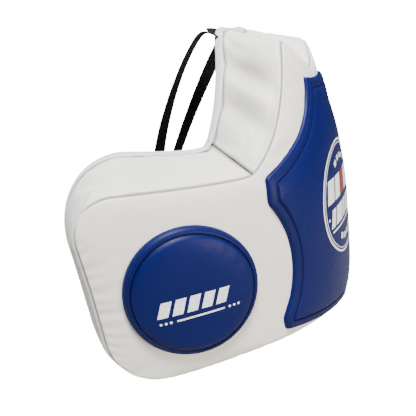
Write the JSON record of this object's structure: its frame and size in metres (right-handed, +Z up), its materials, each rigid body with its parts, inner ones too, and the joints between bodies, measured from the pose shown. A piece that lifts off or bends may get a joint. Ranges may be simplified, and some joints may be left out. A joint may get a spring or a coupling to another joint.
{
  "type": "boxing chest protector",
  "caption": "Thick padded boxing coach's chest protector with a raised centre panel, round punch pads on two flexing side wings, and a webbing back harness.",
  "frame": {"origin": "on the floor, on the centre plane, at the middle of the strip of binding the protector rests on", "axes": "+Z up, +X to the wearer's left, -Y the way the wearer faces"},
  "size_m": [0.6924, 0.3477, 0.4667],
  "materials": {
    "white_leather": "smooth synthetic leather, satin",
    "white_binding": "folded tape, satin",
    "blue_leather": "smooth synthetic leather, satin",
    "black_lining": "woven nylon, matte",
    "black_webbing": "woven polypropylene, matte",
    "hook_tape": "hook side of touch tape",
    "loop_tape": "loop side of touch tape",
    "firm_foam": "closed-cell foam",
    "soft_foam": "open-cell foam",
    "white_print": "printed film, satin",
    "steel_ring": "plated wire"
  },
  "bodies": {
    "chest": {"chest_outer_foam": "firm_foam", "chest_inner_foam": "soft_foam", "chest_face_cover": "white_leather", "chest_lining": "black_lining", "neck_gusset": "white_leather", "armhole_gusset_left": "white_leather", "armhole_gusset_right": "white_leather", "chest_foot_gusset": "white_leather", "neck_binding": "white_binding", "armhole_binding_left": "white_binding", "armhole_binding_right": "white_binding", "chest_foot_binding": "white_binding", "centre_panel_foam": "soft_foam", "centre_panel_cover": "blue_leather", "emblem_print": "white_print", "strap_anchor_left": "white_leather", "strap_anchor_right": "white_leather"},
    "wing_left": {"wing_outer_foam_left": "firm_foam", "wing_inner_foam_left": "soft_foam", "wing_face_cover_left": "white_leather", "wing_lining_left": "black_lining", "wing_gusset_left": "white_leather", "wing_binding_left": "white_binding", "round_pad_foam_left": "soft_foam", "round_pad_cover_left": "blue_leather", "pad_print_left": "white_print", "ring_tab_left": "black_webbing"},
    "ring_left": {"strap_ring_left": "steel_ring"},
    "wing_right": {"wing_outer_foam_right": "firm_foam", "wing_inner_foam_right": "soft_foam", "wing_face_cover_right": "white_leather", "wing_lining_right": "black_lining", "wing_gusset_right": "white_leather", "wing_binding_right": "white_binding", "round_pad_foam_right": "soft_foam", "round_pad_cover_right": "blue_leather", "pad_print_right": "white_print", "ring_tab_right": "black_webbing"},
    "ring_right": {"strap_ring_right": "steel_ring"},
    "harness": {"shoulder_strap_left": "black_webbing", "shoulder_strap_right": "black_webbing", "back_patch": "white_leather"},
    "waist_left": {"waist_strap_left": "black_webbing", "loop_tape_left": "loop_tape"},
    "flap_left": {"strap_flap_left": "black_webbing", "hook_tape_left": "hook_tape"},
    "waist_right": {"waist_strap_right": "black_webbing", "loop_tape_right": "loop_tape"},
    "flap_right": {"strap_flap_right": "black_webbing", "hook_tape_right": "hook_tape"}
  },
  "joints": [
    {"name": "wing_left_flex", "type": "hinge", "parent": "chest", "child": "wing_left", "pos_m": [0.17986, -0.02315, 0.15], "axis": [0, -0.0936, -0.9956], "range_deg": [0, 25], "stiffness_Nm_per_rad": 6},
    {"name": "ring_left_swivel", "type": "hinge", "parent": "wing_left", "child": "ring_left", "pos_m": [0.26365, 0.19263, 0.12777], "axis": [0.0458, -0.0368, -0.9983], "range_deg": [-30, 95]},
    {"name": "wing_right_flex", "type": "hinge", "parent": "chest", "child": "wing_right", "pos_m": [-0.17986, -0.02315, 0.15], "axis": [0, 0.0936, 0.9956], "range_deg": [0, 25], "stiffness_Nm_per_rad": 6},
    {"name": "ring_right_swivel", "type": "hinge", "parent": "wing_right", "child": "ring_right", "pos_m": [-0.26365, 0.19263, 0.12777], "axis": [0.0458, 0.0368, 0.9983], "range_deg": [-30, 95]},
    {"name": "harness_swing", "type": "hinge", "parent": "chest", "child": "harness", "pos_m": [0, 0.097, 0.4615], "axis": [1, 0, 0], "range_deg": [-15, 80], "stiffness_Nm_per_rad": 0.35},
    {"name": "waist_left_swing", "type": "hinge", "parent": "harness", "child": "waist_left", "pos_m": [0.02, 0.242, 0.154], "axis": [0.8829, 0, 0.4695], "range_deg": [-30, 75], "stiffness_Nm_per_rad": 0.03},
    {"name": "flap_left_peel", "type": "hinge", "parent": "waist_left", "child": "flap_left", "pos_m": [0.07164, 0.2443, 0.05688], "axis": [-0.8829, 0, -0.4695], "range_deg": [0, 165]},
    {"name": "waist_right_swing", "type": "hinge", "parent": "harness", "child": "waist_right", "pos_m": [-0.02, 0.242, 0.154], "axis": [0.8829, 0, -0.4695], "range_deg": [-30, 75], "stiffness_Nm_per_rad": 0.03},
    {"name": "flap_right_peel", "type": "hinge", "parent": "waist_right", "child": "flap_right", "pos_m": [-0.07164, 0.2443, 0.05688], "axis": [-0.8829, 0, 0.4695], "range_deg": [0, 165]}
  ]
}
